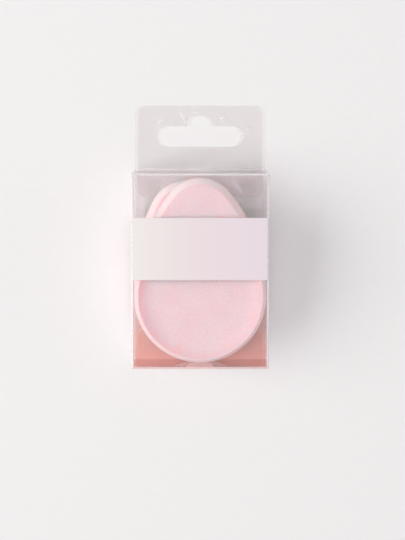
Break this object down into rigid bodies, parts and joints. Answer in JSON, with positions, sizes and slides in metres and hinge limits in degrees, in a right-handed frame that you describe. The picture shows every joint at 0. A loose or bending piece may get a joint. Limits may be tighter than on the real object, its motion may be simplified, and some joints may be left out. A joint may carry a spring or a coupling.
{
  "type": "makeup sponge pack",
  "caption": "Flat egg-shaped foam makeup sponges in a clear folding carton with tuck lid and base, dust flaps, a white band and a hang tab with a euro slot.",
  "frame": {"origin": "middle of the carton's outer back face, without the hang tab", "axes": "+X across the front to the right, +Y along the pack towards the hang tab, +Z out of the back towards the front panel"},
  "size_m": [0.052, 0.0988, 0.0231],
  "materials": {
    "clear_pet": "clear glossy PET sheet",
    "clear_adhesive": "clear dried adhesive",
    "white_ink": "satin white screen ink",
    "pink_foam": "matt fine-pored latex foam"
  },
  "bodies": {
    "carton": {"front_panel": "clear_pet", "left_side_panel": "clear_pet", "right_side_panel": "clear_pet", "back_panel": "clear_pet", "outer_back_panel": "clear_pet", "hang_tab_front_layer": "clear_pet", "hang_tab_rear_layer": "clear_pet", "glue_lines": "clear_adhesive", "printed_band": "white_ink"},
    "lid": {"lid_panel": "clear_pet"},
    "lid_tuck": {"lid_tuck_flap": "clear_pet"},
    "top_left_dust": {"top_left_dust_flap": "clear_pet"},
    "top_right_dust": {"top_right_dust_flap": "clear_pet"},
    "base": {"base_panel": "clear_pet"},
    "base_tuck": {"base_tuck_flap": "clear_pet"},
    "base_left_dust": {"base_left_dust_flap": "clear_pet"},
    "base_right_dust": {"base_right_dust_flap": "clear_pet"},
    "front_sponge": {"front_sponge": "pink_foam"},
    "rear_sponge": {"rear_sponge": "pink_foam"}
  },
  "joints": [
    {"name": "lid_hinge", "type": "hinge", "parent": "carton", "child": "lid", "pos_m": [0, 0.03685, 0.02285], "axis": [1, 0, 0], "range_deg": [0, 120]},
    {"name": "lid_tuck_fold", "type": "hinge", "parent": "lid", "child": "lid_tuck", "pos_m": [0, 0.0367, 0.00211], "axis": [1, 0, 0], "range_deg": [-60, 0]},
    {"name": "top_left_dust_fold", "type": "hinge", "parent": "carton", "child": "top_left_dust", "pos_m": [-0.02585, 0.0365, 0.012], "axis": [0, 0, 1], "range_deg": [0, 18]},
    {"name": "top_right_dust_fold", "type": "hinge", "parent": "carton", "child": "top_right_dust", "pos_m": [0.02585, 0.0365, 0.012], "axis": [0, 0, -1], "range_deg": [0, 18]},
    {"name": "base_hinge", "type": "hinge", "parent": "carton", "child": "base", "pos_m": [0, -0.03685, 0.02285], "axis": [-1, 0, 0], "range_deg": [0, 120]},
    {"name": "base_tuck_fold", "type": "hinge", "parent": "base", "child": "base_tuck", "pos_m": [0, -0.0367, 0.00211], "axis": [-1, 0, 0], "range_deg": [-60, 0]},
    {"name": "base_left_dust_fold", "type": "hinge", "parent": "carton", "child": "base_left_dust", "pos_m": [-0.02585, -0.0365, 0.012], "axis": [0, 0, -1], "range_deg": [0, 18]},
    {"name": "base_right_dust_fold", "type": "hinge", "parent": "carton", "child": "base_right_dust", "pos_m": [0.02585, -0.0365, 0.012], "axis": [0, 0, 1], "range_deg": [0, 18]},
    {"name": "front_sponge_swing", "type": "hinge", "parent": "carton", "child": "front_sponge", "pos_m": [0, -0.0101, 0.017], "axis": [0, 0, 1], "range_deg": [-9, 9]},
    {"name": "rear_sponge_swing", "type": "hinge", "parent": "carton", "child": "rear_sponge", "pos_m": [0.0003, -0.01115, 0.0072], "axis": [0, 0, 1], "range_deg": [-16.7, 1.6]}
  ],
  "couplings": [
    {"joint": "lid_tuck_fold", "follows": "lid_hinge", "ratio": -0.5},
    {"joint": "top_left_dust_fold", "follows": "lid_hinge", "ratio": 0.15},
    {"joint": "top_right_dust_fold", "follows": "lid_hinge", "ratio": 0.15},
    {"joint": "base_tuck_fold", "follows": "base_hinge", "ratio": -0.5},
    {"joint": "base_left_dust_fold", "follows": "base_hinge", "ratio": 0.15},
    {"joint": "base_right_dust_fold", "follows": "base_hinge", "ratio": 0.15}
  ]
}
